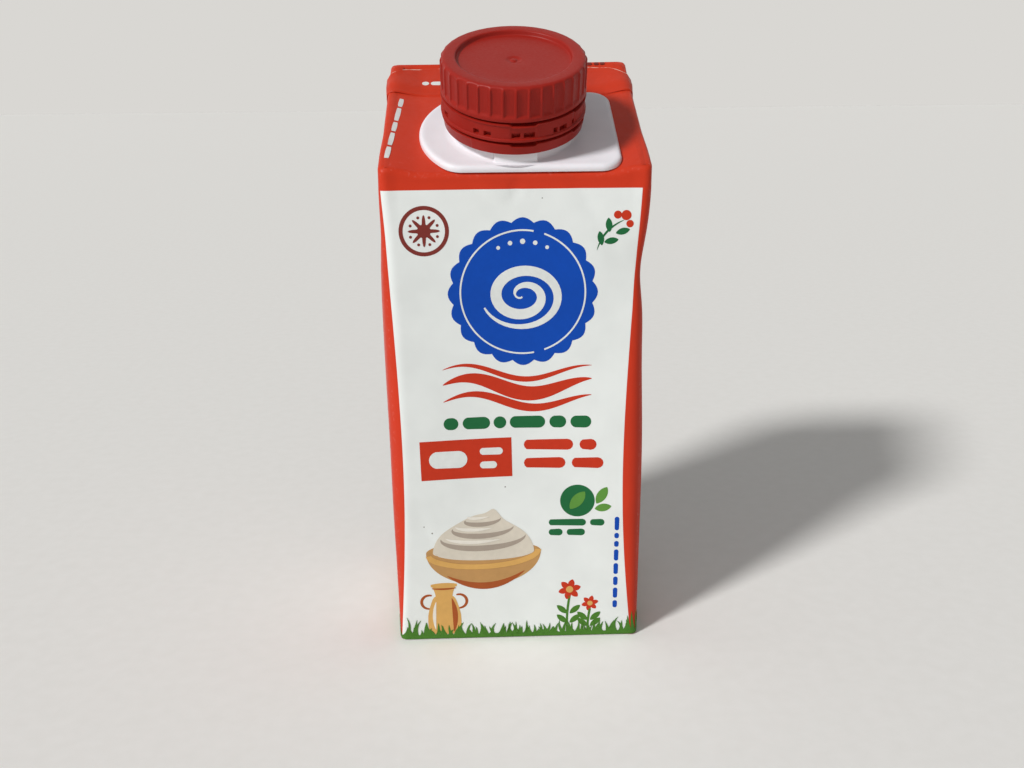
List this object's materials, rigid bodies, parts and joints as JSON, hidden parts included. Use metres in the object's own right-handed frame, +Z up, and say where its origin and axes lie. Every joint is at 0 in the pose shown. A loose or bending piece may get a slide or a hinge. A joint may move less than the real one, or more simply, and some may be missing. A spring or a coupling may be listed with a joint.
{
  "type": "slant-top cream carton with screw cap",
  "caption": "Small slant-top brick carton of cream with folded seal fin and ears, flanged spout, lock ring, tether strap and ribbed screw cap.",
  "frame": {"origin": "middle of the flat base, on the surface the carton stands on", "axes": "+Z up, -Y towards the front panel and the low edge of the slanted top, +X to the right of someone who looks at the front"},
  "size_m": [0.0542, 0.0445, 0.123],
  "materials": {
    "printed_board": "coated and printed, satin",
    "white_plastic": "satin moulded",
    "cap_plastic": "satin moulded"
  },
  "bodies": {
    "root": {"carton": "printed_board", "spout": "white_plastic", "tether_band": "cap_plastic", "screw_cap": "cap_plastic"}
  },
  "joints": []
}
